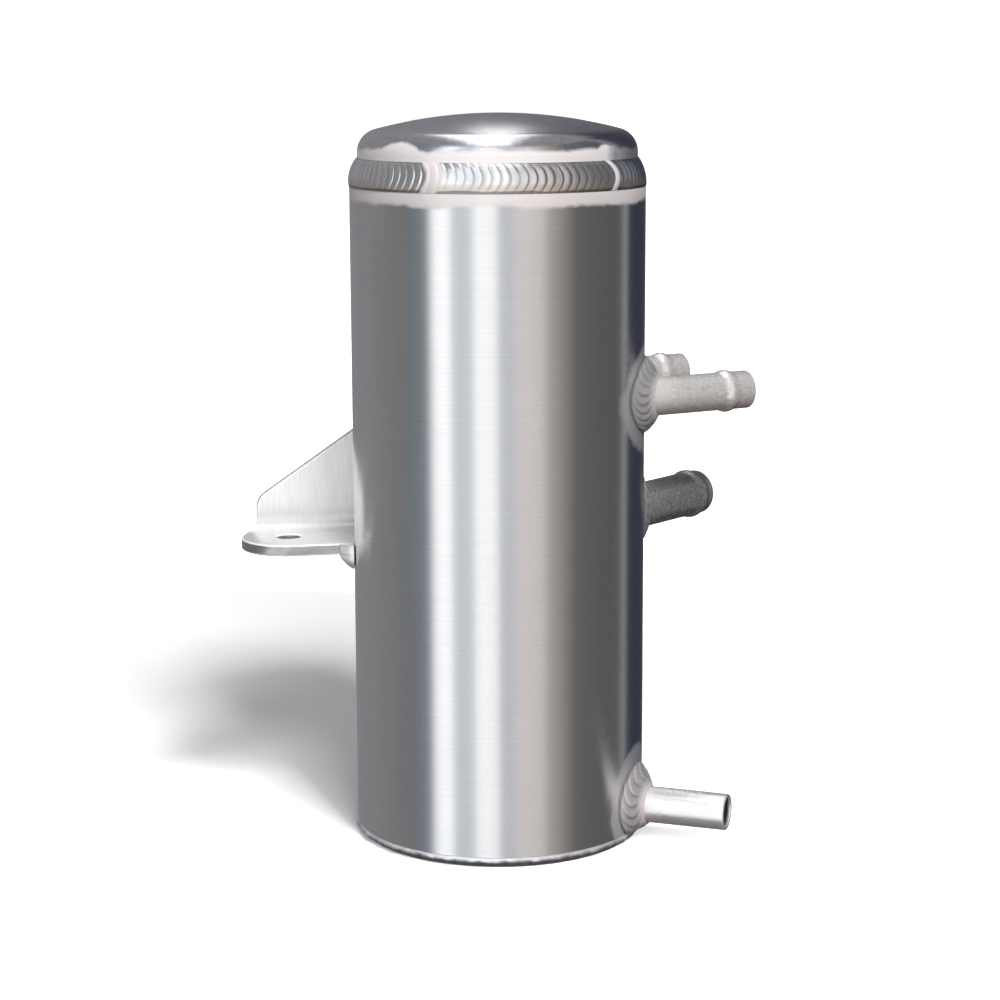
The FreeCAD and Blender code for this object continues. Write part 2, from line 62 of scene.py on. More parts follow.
def maths(tree, operation, *values, clamp=False):
    inputs = dict(enumerate(values))
    return add(tree, "ShaderNodeMath", inputs, operation=operation, use_clamp=clamp).outputs[0]


def vector_maths(tree, operation, *values):
    node = add(tree, "ShaderNodeVectorMath", dict(enumerate(values)), operation=operation)
    return node.outputs["Value" if operation in ("LENGTH", "DOT_PRODUCT") else "Vector"]


def noise(tree, vector, scale, detail, roughness=0.5):
    inputs = {"Vector": vector, "Scale": scale, "Detail": detail, "Roughness": roughness}
    return add(tree, "ShaderNodeTexNoise", inputs).outputs[0]


def times(tree, first, second):
    return maths(tree, "MULTIPLY", first, second)


def about_zero(tree, value, swing):
    """A value that runs from 0 to 1, such as noise, made to swing about zero."""
    return times(tree, maths(tree, "SUBTRACT", value, 0.5), swing)


def new_metal(name, anisotropic=0.0):
    """A bare metal finish: its material, its node tree and its shader."""
    material = bpy.data.materials.new(name)
    material.use_nodes = True
    tree = material.node_tree
    shader = tree.nodes["Principled BSDF"]
    shader.inputs["Metallic"].default_value = 1.0
    shader.inputs["Anisotropic"].default_value = anisotropic
    return material, tree, shader


def new_group(name, inputs, outputs):
    """A shared effect. Its inputs are numbers or vectors, and its outputs are numbers."""
    tree = bpy.data.node_groups.new(name, "ShaderNodeTree")
    for label, value in inputs.items():
        kind = "NodeSocketFloat" if isinstance(value, float) else "NodeSocketVector"
        tree.interface.new_socket(label, in_out="INPUT", socket_type=kind).default_value = value
    for label in outputs:
        tree.interface.new_socket(label, in_out="OUTPUT", socket_type="NodeSocketFloat")
    return tree, tree.nodes.new("NodeGroupInput").outputs, tree.nodes.new("NodeGroupOutput")


def scratch_lines():
    """Fine lines from a cloth or belt, and broad faint blotches, on stretched coordinates."""
    tree, given, result = new_group(
        "scratch_lines", {"Vector": (0, 0, 0), "Contrast": 1.0}, ("Lines", "Blotches")
    )
    fine = noise(tree, given["Vector"], 1.0, 2.0, 0.65)
    lines = maths(tree, "ADD", about_zero(tree, fine, given["Contrast"]), 0.5, clamp=True)
    tree.links.new(lines, result.inputs["Lines"])
    tree.links.new(noise(tree, given["Vector"], 0.3, 2.0), result.inputs["Blotches"])
    return tree


def object_coordinates(tree, scale=(1, 1, 1)):
    spot = add(tree, "ShaderNodeTexCoord").outputs["Object"]
    return vector_maths(tree, "MULTIPLY", spot, scale)


def blend_colours(tree, share, first, second):
    inputs = {"Factor": share, "A": first, "B": second}
    return add(tree, "ShaderNodeMix", inputs, data_type="RGBA").outputs["Result"]


def between(tree, value, low, high, start=0.0, end=1.0):
    """low where the value is at the start, high where it is at the end, and even between."""
    inputs = {"Value": value, "From Min": start, "From Max": end, "To Min": low, "To Max": high}
    return add(tree, "ShaderNodeMapRange", inputs).outputs[0]


def dent_surface(tree, shader, height, depth, strength):
    bump = add(tree, "ShaderNodeBump", {"Height": height, "Distance": depth, "Strength": strength})
    tree.links.new(bump.outputs[0], shader.inputs["Normal"])


LINES = scratch_lines()


def brushed_metal(
    name, scale, dark, light, rough, contrast=1.6, anisotropic=0.0, dent=0.00002,
    lay=object_coordinates,
):
    """A brushed finish: lines in its colour, its gloss and, faintly, its surface."""
    material, tree, shader = new_metal(name, anisotropic)
    given = {"Vector": lay(tree, scale), "Contrast": contrast}
    lines = add(tree, "ShaderNodeGroup", given, node_tree=LINES).outputs
    if dent:
        dent_surface(tree, shader, lines["Lines"], dent, 0.5)
    colour = blend_colours(tree, lines["Lines"], dark, light)
    return material, tree, shader, colour, between(tree, lines["Blotches"], *rough)


def plain_metal(*looks, metallic=1.0, **more):
    """A brushed finish with nothing over it."""
    material, tree, shader, colour, gloss = brushed_metal(*looks, **more)
    tree.links.new(colour, shader.inputs["Base Color"])
    tree.links.new(gloss, shader.inputs["Roughness"])
    shader.inputs["Metallic"].default_value = metallic
    return material


def dress(node, material):
    """Give a CAD node its finish."""
    node.data.materials.clear()
    node.data.materials.append(material)


faced = plain_metal(
    "faced_plate", (300, 300, 300), (0.55, 0.55, 0.56, 1), PLATE_GREY, (0.34, 0.48)
)
dress(nodes["base_plate"], faced)


# Tank wall
# A length of round aluminium tube, brushed round its axis on a lathe with an abrasive cloth.
# Four holes take the spigots. Where it was welded, the metal is etched to a matt white band.

TUBE_RADIUS = 0.0381
TUBE_WALL = 0.002
TUBE_FOOT = 0.003
TUBE_TOP = 0.1742
TUBE_BEVEL = 0.0034
SPIGOT_GAP = 0.0001
DRILL_LENGTH = 0.08
WHITE_METAL = (0.69, 0.645, 0.64, 1)
# turn from +x, offset from the tank's axis, height, outer radius
HOLES = {
    "upper_front": (18, 0.022, 0.1163, 0.005),
    "upper_rear": (18, -0.017, 0.1163, 0.005),
    "middle": (40, 0.019, 0.084, 0.006),
    "drain": (-30, 0.0, 0.0096, 0.00475),
}


def smooth(mesh, sharp=35):
    mesh.shade_smooth()
    mesh.set_sharp_from_angle(angle=math.radians(sharp))


def placed(name, data):
    """A new object in the scene."""
    thing = bpy.data.objects.new(name, data)
    bpy.context.scene.collection.objects.link(thing)
    return thing


def new_piece(name, mesh, material, *replaced, slot):
    """A finished piece that rides on the can and stands for its CAD nodes."""
    piece = placed(name, mesh)
    if material:
        mesh.materials.clear()
        mesh.materials.append(material)
    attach(piece, "root")
    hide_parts(*replaced)


def turned(name, profile, around=256, spot=Matrix()):
    """A closed shape turned round z from a closed profile of (radius, height)."""
    angle = np.linspace(0, 2 * math.pi, around, endpoint=False)
    radius, height = np.array(profile).T
    across = np.outer(np.cos(angle), radius), np.outer(np.sin(angle), radius)
    grid = np.stack([*across, np.tile(height, (around, 1))], -1)
    count = len(profile)
    faces = [
        (a * count + i, (a + 1) % around * count + i, (a + 1) % around * count + j, a * count + j)
        for a in range(around)
        for i, j in zip(range(count), list(range(1, count)) + [0])
    ]
    mesh = bpy.data.meshes.new(name)
    mesh.from_pydata(grid.reshape(-1, 3).tolist(), [], faces)
    shape = bmesh.new()
    shape.from_mesh(mesh)
    bmesh.ops.remove_doubles(shape, verts=shape.verts, dist=1e-7)
    bmesh.ops.recalc_face_normals(shape, faces=shape.faces)
    shape.transform(spot)
    shape.to_mesh(mesh)
    shape.free()
    smooth(mesh)
    return mesh


def settled(piece):
    """The plain mesh of a piece with its modifiers, which are then removed."""
    graph = bpy.context.evaluated_depsgraph_get()
    mesh = bpy.data.meshes.new_from_object(piece.evaluated_get(graph), depsgraph=graph)
    bpy.data.objects.remove(piece)
    return mesh


def spigot_spot(turn, offset, height):
    """The frame of a spigot: z runs out along the pipe from abreast of the tank's axis."""
    angle = math.radians(turn)
    spot = Vector((offset * math.sin(angle), -offset * math.cos(angle), height))
    out = Vector((math.cos(angle), math.sin(angle), 0))
    side = Vector((-math.sin(angle), math.cos(angle), 0))
    return Matrix.Translation(spot) @ Matrix((side, Vector((0, 0, 1)), out)).transposed().to_4x4()


def tank_wall():
    bore = TUBE_RADIUS - TUBE_WALL
    rows = np.linspace(TUBE_FOOT, TUBE_TOP - TUBE_BEVEL, 44)
    profile = [(TUBE_RADIUS, z) for z in rows] + [(bore, TUBE_TOP)]
    profile += [(bore, z) for z in rows[::-1]]
    wall = placed("wall_blank", turned("wall_blank", profile, 288))
    drills = []
    for name, (turn, offset, height, radius) in HOLES.items():
        radius += SPIGOT_GAP
        rod = [(0, 0), (radius, 0), (radius, DRILL_LENGTH), (0, DRILL_LENGTH)]
        drill = placed(name, turned(name, rod, 64, spigot_spot(turn, offset, height)))
        drills.append(drill)
        hole = wall.modifiers.new(name, "BOOLEAN")
        hole.operation, hole.solver, hole.object = "DIFFERENCE", "EXACT", drill
    mesh = settled(wall)
    for drill in drills:
        bpy.data.objects.remove(drill)
    mesh.name = "tank_wall"
    smooth(mesh)
    return mesh


def past(tree, value, edge, softness):
    """0 where a value is short of an edge, and 1 once it is past it by the softness."""
    return maths(tree, "DIVIDE", maths(tree, "SUBTRACT", value, edge), softness, clamp=True)


def from_line(tree, off, way):
    """How far a point lies from a line and along it, given its way off the line's root."""
    distance = vector_maths(tree, "LENGTH", vector_maths(tree, "CROSS_PRODUCT", off, way))
    return distance, vector_maths(tree, "DOT_PRODUCT", off, way)


def etched_ring():
    """A mask of the matt white ring that welding and cleaning leave round a pipe's root."""
    inputs = {"Vector": (0, 0, 0), "Root": (0, 0, 0), "Way": (1, 0, 0), "Radius": 0.01}
    inputs.update({"Stretch": 1.0, "Edge": 0.0012, "Rag": 0.002})
    tree, given, result = new_group("etched_ring", inputs, ("Mask",))
    off = vector_maths(tree, "SUBTRACT", given["Vector"], given["Root"])
    parts = add(tree, "ShaderNodeSeparateXYZ", {0: off}).outputs
    low = maths(tree, "DIVIDE", parts[2], given["Stretch"])
    off = add(tree, "ShaderNodeCombineXYZ", {0: parts[0], 1: parts[1], 2: low}).outputs[0]
    distance, along = from_line(tree, off, given["Way"])
    ragged = about_zero(tree, noise(tree, given["Vector"], 260.0, 3.0), given["Rag"])
    inside = past(tree, maths(tree, "ADD", given["Radius"], ragged), distance, given["Edge"])
    ahead = maths(tree, "GREATER_THAN", along, 0.0)
    tree.links.new(times(tree, inside, ahead), result.inputs["Mask"])
    return tree


def etched_band():
    """A mask of the matt white band along a seam, between two wavering heights."""
    inputs = {"Vector": (0, 0, 0), "Low": 0.0, "High": 1.0, "Waver": 0.001, "Edge": 0.001}
    tree, given, result = new_group("etched_band", inputs, ("Mask",))
    height = add(tree, "ShaderNodeSeparateXYZ", {0: given["Vector"]}).outputs[2]
    slow = about_zero(tree, noise(tree, given["Vector"], 60.0, 1.0), 1.0)
    quick = about_zero(tree, noise(tree, given["Vector"], 330.0, 3.0), 0.55)
    shift = times(tree, maths(tree, "ADD", slow, quick), given["Waver"])
    level = maths(tree, "ADD", height, shift)
    above = past(tree, level, given["Low"], given["Edge"])
    below = past(tree, given["High"], level, given["Edge"])
    tree.links.new(times(tree, above, below), result.inputs["Mask"])
    return tree


ETCHED_RING = etched_ring()
ETCHED_BAND = etched_band()


def masks_of(tree, rings, band, strength):
    """The union of etched rings (root, way, radius, stretch) and a band (low, high, waver)."""
    spot = object_coordinates(tree)
    given = {"Vector": spot, "Low": band[0], "High": band[1], "Waver": band[2]}
    mask = add(tree, "ShaderNodeGroup", given, node_tree=ETCHED_BAND).outputs[0]
    for root, way, radius, stretch in rings:
        given = {"Vector": spot, "Root": root, "Way": way, "Radius": radius, "Stretch": stretch}
        ring = add(tree, "ShaderNodeGroup", given, node_tree=ETCHED_RING).outputs[0]
        mask = maths(tree, "MAXIMUM", mask, times(tree, ring, strength))
    return mask


ETCHED_ROUGH = 0.55
ETCHED_SHINE = 0.5


def etch(tree, shader, colour, gloss, mask, white=WHITE_METAL, bare=1.0):
    """Turn a metal matt and white where the mask is 1. bare is how metallic the rest is."""
    tree.links.new(blend_colours(tree, mask, colour, white), shader.inputs["Base Color"])
    tree.links.new(between(tree, mask, gloss, ETCHED_ROUGH), shader.inputs["Roughness"])
    tree.links.new(between(tree, mask, bare, ETCHED_SHINE), shader.inputs["Metallic"])


def root_of(hole):
    turn, offset, height, radius = hole
    spot = spigot_spot(turn, offset, height)
    return spot.translation, spot.col[2].xyz


# how far the white ring reaches past a pipe, how much taller than wide and how strong it is
RING_REACH = 0.0076
DRAIN_RING_REACH = 0.0094
RING_STRETCH = 1.18
RING_WHITE = 0.4
# the white band under the cap's seam: its lower edge, past its upper edge and its waver
WALL_BAND = (0.1671, 0.2, 0.003)
CLOUD_GREY = (0.6, 0.6, 0.61, 1)

wall_rings = []
for name, hole in HOLES.items():
    reach = DRAIN_RING_REACH if name == "drain" else RING_REACH
    wall_rings.append((*root_of(hole), hole[3] + reach, RING_STRETCH))
wall_metal, tree, shader, colour, gloss = brushed_metal(
    "brushed_tube", (1.5, 1.5, 1500), (0.7, 0.7, 0.71, 1), (0.86, 0.86, 0.862, 1), (0.25, 0.31),
    contrast=1.1, anisotropic=0.85, dent=0.0,
)
cloud = noise(tree, object_coordinates(tree, (34, 34, 17)), 5.0, 2.0)
colour = blend_colours(tree, between(tree, cloud, 0.0, 0.3), colour, CLOUD_GREY)
tangent = add(tree, "ShaderNodeTangent", direction_type="RADIAL", axis="Z")
tree.links.new(tangent.outputs[0], shader.inputs["Tangent"])
shader.inputs["Anisotropic Rotation"].default_value = 0.25
etch(tree, shader, colour, gloss, masks_of(tree, wall_rings, WALL_BAND, RING_WHITE))
new_piece("tank_wall", tank_wall(), wall_metal, "body_tube", slot="tube_aluminium")


# Baffle
# A drilled aluminium disc inside the tank, held by three tacks. It makes the oil drop out of the
# gas. It was punched from sheet and left as rolled.

rolled = plain_metal(
    "rolled_sheet", (60, 900, 60), (0.5, 0.5, 0.51, 1), (0.66, 0.66, 0.67, 1), (0.3, 0.42)
)
dress(nodes["baffle_plate"], rolled)


# Spigots
# Four lengths of drawn aluminium pipe, pushed through the wall. Three have a rolled bead near the
# end that holds a hose. Their satin skin is faintly pitted, and white at the root.

PIPE_WALL = 0.001
PIPE_INSIDE = 0.002
BEAD_RISE = 0.0006
BEAD_LENGTH = 0.0052
PIPE_EDGE = 0.00045
# the pipe is plain up to here before its tip
PLAIN_END = 0.014
# reach past the tank's wall, and the hose bead's distance from the tip
REACHES = {
    "upper_front": (0.0316, 0.007),
    "upper_rear": (0.033, 0.007),
    "middle": (0.0298, 0.0044),
    "drain": (0.025, None),
}


def quarter_round(centre, radius, first, steps=4):
    """The points of a quarter turn about a centre, in the profile's plane."""
    turns = np.radians(np.linspace(first, first + 90, steps + 1))
    return [(centre[0] + radius * math.cos(t), centre[1] + radius * math.sin(t)) for t in turns]


def wall_out(offset):
    """How far out the tank's wall lies along a spigot's axis."""
    return math.sqrt(TUBE_RADIUS**2 - offset**2)


def pipe(name, hole, reach, setback):
    """A pipe with rounded ends and, if it has a setback, a rolled ridge that far from its tip."""
    turn, offset, height, outer = hole
    bore = outer - PIPE_WALL
    tip = wall_out(offset) + reach
    start = math.sqrt((TUBE_RADIUS - TUBE_WALL) ** 2 - (abs(offset) + outer) ** 2) - PIPE_INSIDE
    profile = [(bore, start), (outer, start)]
    profile += [(outer, z) for z in np.linspace(start, tip - PLAIN_END, 10)[1:]]
    if setback:
        for share in np.linspace(-1, 1, 25):
            rise = BEAD_RISE * math.cos(share * math.pi / 2) ** 2
            profile.append((outer + rise, tip - setback + share * BEAD_LENGTH / 2))
    profile += quarter_round((outer - PIPE_EDGE, tip - PIPE_EDGE), PIPE_EDGE, 0)
    profile += quarter_round((bore + PIPE_EDGE, tip - PIPE_EDGE), PIPE_EDGE, 90)
    return turned(name + "_pipe", profile, 96, spigot_spot(turn, offset, height))


def pitting():
    """Fine pits and lighter specks of drawn and blasted pipe."""
    inputs = {"Vector": (0, 0, 0), "Size": 1500.0}
    tree, given, result = new_group("pitting", inputs, ("Specks", "Cloud"))
    fine = noise(tree, given["Vector"], given["Size"], 3.0, 0.7)
    tree.links.new(between(tree, fine, 0.0, 1.0, 0.35, 0.7), result.inputs["Specks"])
    tree.links.new(noise(tree, given["Vector"], 170.0, 2.0), result.inputs["Cloud"])
    return tree


PITTING = pitting()
# the near black of a pipe's bore, painted shade
BORE_SHADE = (0.05, 0.05, 0.09, 1)
# how far in from the tip the bore's painted shade is full; it fades in from three tenths of this
# way, so nearer the tip the bore stays bright
BORE_SHADE_DEPTH = 0.0011
# how far out from the wall the white at a pipe's root reaches, how ragged it ends and how softly
ROOT_WHITE_REACH = 0.0095
ROOT_WHITE_RAG = 0.008
ROOT_WHITE_EDGE = 0.007
# each pipe's darkest and lightest skin, how metallic and how rough it is, and the white at its root
BRIGHT_PIPE = ((0.64, 0.615, 0.6, 1), (0.95, 0.925, 0.905, 1), 0.72, (0.22, 0.32), 0.5)
PIPE_LOOKS = {
    "upper_front": BRIGHT_PIPE,
    "upper_rear": BRIGHT_PIPE,
    # the middle pipe's darker skin is painted shade: it points back and lies in the tank's shade
    "middle": ((0.25, 0.255, 0.24, 1), (0.62, 0.62, 0.59, 1), 0.84, (0.2, 0.3), 0.1),
    "drain": ((0.9, 0.9, 0.91, 1), (0.96, 0.96, 0.965, 1), 0.8, (0.22, 0.3), 0.6),
}


def pits_of(tree, size):
    given = {"Vector": object_coordinates(tree), "Size": size}
    return add(tree, "ShaderNodeGroup", given, node_tree=PITTING).outputs


def satin_metal(name, dark, light, rough, size=1500.0, dent=0.00004):
    """A satin skin with lighter specks, in its colour, its gloss and its surface."""
    material, tree, shader = new_metal(name)
    pits = pits_of(tree, size)
    dent_surface(tree, shader, pits["Specks"], dent, 0.6)
    colour = blend_colours(tree, pits["Specks"], dark, light)
    return material, tree, shader, colour, between(tree, pits["Cloud"], *rough)


for name, hole in HOLES.items():
    dark, light, shine, rough, root_white = PIPE_LOOKS[name]
    pipe_metal, tree, shader, colour, gloss = satin_metal(name + "_satin", dark, light, rough)
    root, way = root_of(hole)
    spot = object_coordinates(tree)
    from_axis, along = from_line(tree, vector_maths(tree, "SUBTRACT", spot, root), way)
    inner_skin = hole[3] - 0.8 * PIPE_WALL
    # painted shade: the bore is coloured near black a little way in from the tip
    tip = wall_out(hole[1]) + REACHES[name][0]
    deep = between(tree, along, 0.0, 1.0, tip - 0.3 * BORE_SHADE_DEPTH, tip - BORE_SHADE_DEPTH)
    inside = maths(tree, "LESS_THAN", from_axis, inner_skin)
    colour = blend_colours(tree, times(tree, inside, deep), colour, BORE_SHADE)
    # the etched skin of the root ends a little way out from the weld
    ragged = about_zero(tree, noise(tree, spot, 230.0, 3.0), ROOT_WHITE_RAG)
    edge = maths(tree, "ADD", wall_out(hole[1]) + ROOT_WHITE_REACH, ragged)
    outside = maths(tree, "GREATER_THAN", from_axis, inner_skin)
    mask = times(tree, past(tree, edge, along, ROOT_WHITE_EDGE), outside)
    etch(tree, shader, colour, gloss, times(tree, mask, root_white), bare=shine)
    mesh = pipe(name, hole, *REACHES[name])
    new_piece(name + "_pipe", mesh, pipe_metal, name + "_spigot", slot="spigot_aluminium")


# Spigot welds
# A fillet round the root of each pipe, run by hand with a filler rod. The pool froze in a row of
# ripples, each bowed, and its colour is greyer in the hollows between them.

WELD_GAP = 0.00008
FILLET_LEG = 0.0044
FILLET_SPREAD = 0.005
DRAIN_LEG = 0.004
DRAIN_SPREAD = 0.0056
FILLET_RISE = 0.0009
FILLET_CROWN = 0.00045
FILLET_RIPPLES = 21
DRAIN_RIPPLES = 16
# a ripple falls from its crest over the first share of its length, then climbs in an arc that
# starts a little sooner and spans this many radians, and its height varies between two factors
RIPPLE_FALL = 0.2
RIPPLE_CLIMB = 0.12
RIPPLE_ARC = 1.78
RIPPLE_HEIGHTS = (0.6, 1.25)
# how fast the ripples rise from the toes, and where they wash out near the upper one
TOE_RISE = 8.8
WASHED = (0.68, 0.95)


def arch(across):
    """0 at both toes of a bead and 1 at its middle."""
    return 4 * across * (1 - across)


def ripple_tree():
    """Raises a smooth bead into ripples along its own way, and stores how deep each point lies."""
    tree = bpy.data.node_groups.new("ripples", "GeometryNodeTree")
    face = tree.interface
    face.new_socket("Geometry", in_out="OUTPUT", socket_type="NodeSocketGeometry")
    face.new_socket("Geometry", in_out="INPUT", socket_type="NodeSocketGeometry")
    floats = {"Ripples": 26.0, "Depth": 0.0003, "Lean": 1.0, "Roughness": 0.0001}
    for label, value in {**floats, "Wash": 0.0, "Patches": 0.0}.items():
        face.new_socket(label, in_out="INPUT", socket_type="NodeSocketFloat").default_value = value
    face.new_socket("Seed", in_out="INPUT", socket_type="NodeSocketInt").default_value = 1
    face.new_socket("Material", in_out="INPUT", socket_type="NodeSocketMaterial")
    given = tree.nodes.new("NodeGroupInput").outputs
    result = tree.nodes.new("NodeGroupOutput")
    way, across = (
        add(tree, "GeometryNodeInputNamedAttribute", {"Name": label}, data_type="FLOAT").outputs[0]
        for label in ("way", "across")
    )
    run = times(tree, way, given["Ripples"])
    share = maths(tree, "FRACT", times(tree, run, given["Lean"]))
    falling = maths(tree, "SUBTRACT", 1.0, maths(tree, "DIVIDE", share, RIPPLE_FALL))
    climbed = maths(tree, "SUBTRACT", share, RIPPLE_CLIMB)
    rising = maths(tree, "SINE", times(tree, climbed, RIPPLE_ARC))
    tooth = maths(tree, "MAXIMUM", falling, rising)
    number = maths(tree, "FLOOR", maths(tree, "ADD", run, 0.001))
    low, high = RIPPLE_HEIGHTS
    heights = {2: low, 3: high, "ID": number, "Seed": given["Seed"]}
    height = add(tree, "FunctionNodeRandomValue", heights, data_type="FLOAT").outputs[1]
    # the ripples fade at both toes, where the bead washed out, and in smooth patches
    hump = times(tree, across, maths(tree, "SUBTRACT", 1.0, across))
    window = maths(tree, "MULTIPLY", hump, TOE_RISE, clamp=True)
    place = add(tree, "GeometryNodeInputPosition").outputs[0]
    washed = between(tree, across, 0.0, 1.0, *WASHED)
    smooth_patch = between(tree, noise(tree, place, 150.0, 1.0), 0.0, 1.0, 0.58, 0.4)
    for faded, amount in ((washed, given["Wash"]), (smooth_patch, given["Patches"])):
        left = maths(tree, "SUBTRACT", 1.0, times(tree, faded, amount))
        window = times(tree, window, left)
    ridge = times(tree, about_zero(tree, tooth, height), window)
    lift = times(tree, ridge, given["Depth"])
    grain = {"Vector": place, "W": given["Seed"], "Scale": 420.0, "Detail": 2.0}
    rag = add(tree, "ShaderNodeTexNoise", grain, noise_dimensions="4D").outputs[0]
    rag = times(tree, about_zero(tree, rag, given["Roughness"]), window)
    normal = add(tree, "GeometryNodeInputNormal").outputs[0]
    scaled = {0: normal, "Scale": maths(tree, "ADD", lift, rag)}
    move = add(tree, "ShaderNodeVectorMath", scaled, operation="SCALE").outputs[0]
    hollow = times(tree, maths(tree, "SUBTRACT", 1.0, tooth), window)
    stored = {"Geometry": given["Geometry"], "Name": "hollow", "Value": hollow}
    mesh = add(
        tree, "GeometryNodeStoreNamedAttribute", stored, data_type="FLOAT", domain="POINT"
    ).outputs[0]
    for kind, inputs in (
        ("GeometryNodeSetPosition", {"Offset": move}),
        ("GeometryNodeRealizeInstances", {}),
        ("GeometryNodeSetMaterial", {"Material": given["Material"]}),
    ):
        mesh = add(tree, kind, {"Geometry": mesh, **inputs}).outputs[0]
    tree.links.new(mesh, result.inputs[0])
    return tree


RIPPLES = ripple_tree()


def bead(name, material, face, root, ripples, closed=True, bow=0.0, along=9, across=12, **given):
    """A rippled bead. face(way, across) is its smooth face and root(way) the line behind it.

    bow is how far, in ripples, the middle of each ripple runs ahead of its ends.
    """
    points, ways, sides = [], [], []
    rows = ripples * along + (0 if closed else 1)
    for row in range(rows):
        way = row / along / ripples
        for step in range(across + 1):
            side = step / across
            bowed = way + bow * arch(side) / ripples
            if not closed:
                bowed = min(max(bowed, 0.0), 1.0)
            points.append(face(bowed, side))
            ways.append(way)
            sides.append(side)
        points.append(root(way))
        ways.append(way)
        sides.append(0.0)
    width = across + 2
    faces = []
    for row in range(rows if closed else rows - 1):
        here, there = row * width, (row + 1) % rows * width
        for i in range(width):
            j = (i + 1) % width
            faces.append((here + i, there + i, there + j, here + j))
    if not closed:
        faces.append(tuple(range(width)))
        faces.append(tuple(range(len(points) - 1, len(points) - 1 - width, -1)))
    mesh = bpy.data.meshes.new(name)
    mesh.from_pydata([tuple(p) for p in points], [], faces)
    for label, values in (("way", ways), ("across", sides)):
        mesh.attributes.new(label, "FLOAT", "POINT").data.foreach_set("value", values)
    shape = bmesh.new()
    shape.from_mesh(mesh)
    bmesh.ops.recalc_face_normals(shape, faces=shape.faces)
    shape.to_mesh(mesh)
    shape.free()
    smooth(mesh, 80)
    blank = placed(name, mesh)
    raised = blank.modifiers.new("ripples", "NODES")
    raised.node_group = RIPPLES
    values = dict(given, Ripples=float(ripples), Material=material)
    for item in RIPPLES.interface.items_tree:
        if item.in_out == "INPUT" and item.name in values:
            raised[item.identifier] = values[item.name]
    mesh = settled(blank)
    mesh.name = name
    smooth(mesh, 70)
    return mesh


WELD_PITS = 2200.0
# how strongly the lower toe's own colour and the painted shade in the crease tint the metal
TOE_TINT = 0.75
CREASE_SHADE_TINT = 0.85
# where the lower toe's own colour fades out, across the bead, and where the white of a washed out
# upper toe fades in
TOE_COLOUR_REACH = (0.34, 0.2)
UPPER_WHITE = (0.66, 0.92)


def weld_metal(
    name, light, dark, rough, toe, crease_shade=(0.25, 0.24, 0.24, 1), crease_shade_reach=(0.1, 0.95), laps=(),
    bright=0.0, shine=1.0,
):
    """Frozen weld metal: bright crests, grey hollows, a colour of its own at the lower toe and
    painted shade in the crease at the toes.

    creases are how far across the bead the painted shade in the crease of each toe reaches.
    bright is how white and smooth the bead is near its upper toe, as where it washed out on a pipe.
    shine is how metallic it is, less where its skin is dull.
    laps are the shares of the way where one pass covers another, each with its half width and
    how ragged it is. They are etched white.
    """
    material, tree, shader = new_metal(name)
    hollow, across, way = (
        add(tree, "ShaderNodeAttribute", attribute_name=label).outputs["Fac"]
        for label in ("hollow", "across", "way")
    )
    pits = pits_of(tree, WELD_PITS)
    dent_surface(tree, shader, pits["Specks"], 0.00003, 0.5)
    clouded = about_zero(tree, pits["Cloud"], 0.6)
    deep = maths(tree, "ADD", maths(tree, "POWER", hollow, 2.2), clouded, clamp=True)
    toe_share = between(tree, across, 0.0, 1.0, *TOE_COLOUR_REACH)
    ragged = maths(tree, "ADD", across, about_zero(tree, pits["Cloud"], 0.12))
    # painted shade: the crease at each toe is darkened
    lower = past(tree, crease_shade_reach[0], ragged, 0.04)
    upper = times(tree, past(tree, ragged, crease_shade_reach[1], 0.06), 0.6 * (1 - bright))
    shaded_crease = maths(tree, "MAXIMUM", lower, upper)
    colour = blend_colours(tree, deep, light, dark)
    colour = blend_colours(tree, times(tree, toe_share, TOE_TINT), colour, toe)
    colour = blend_colours(tree, times(tree, shaded_crease, CREASE_SHADE_TINT), colour, crease_shade)
    gloss = maths(tree, "ADD", between(tree, deep, *rough), times(tree, toe_share, 0.15))
    white = between(tree, ragged, 0.0, bright, *UPPER_WHITE)
    for spot, half, rag in laps:
        off = maths(tree, "ABSOLUTE", maths(tree, "SUBTRACT", way, spot))
        reach = maths(tree, "ADD", half, about_zero(tree, pits["Cloud"], rag))
        white = maths(tree, "MAXIMUM", white, past(tree, reach, off, 0.3 * half))
    etch(tree, shader, colour, gloss, white, bare=shine)
    return material


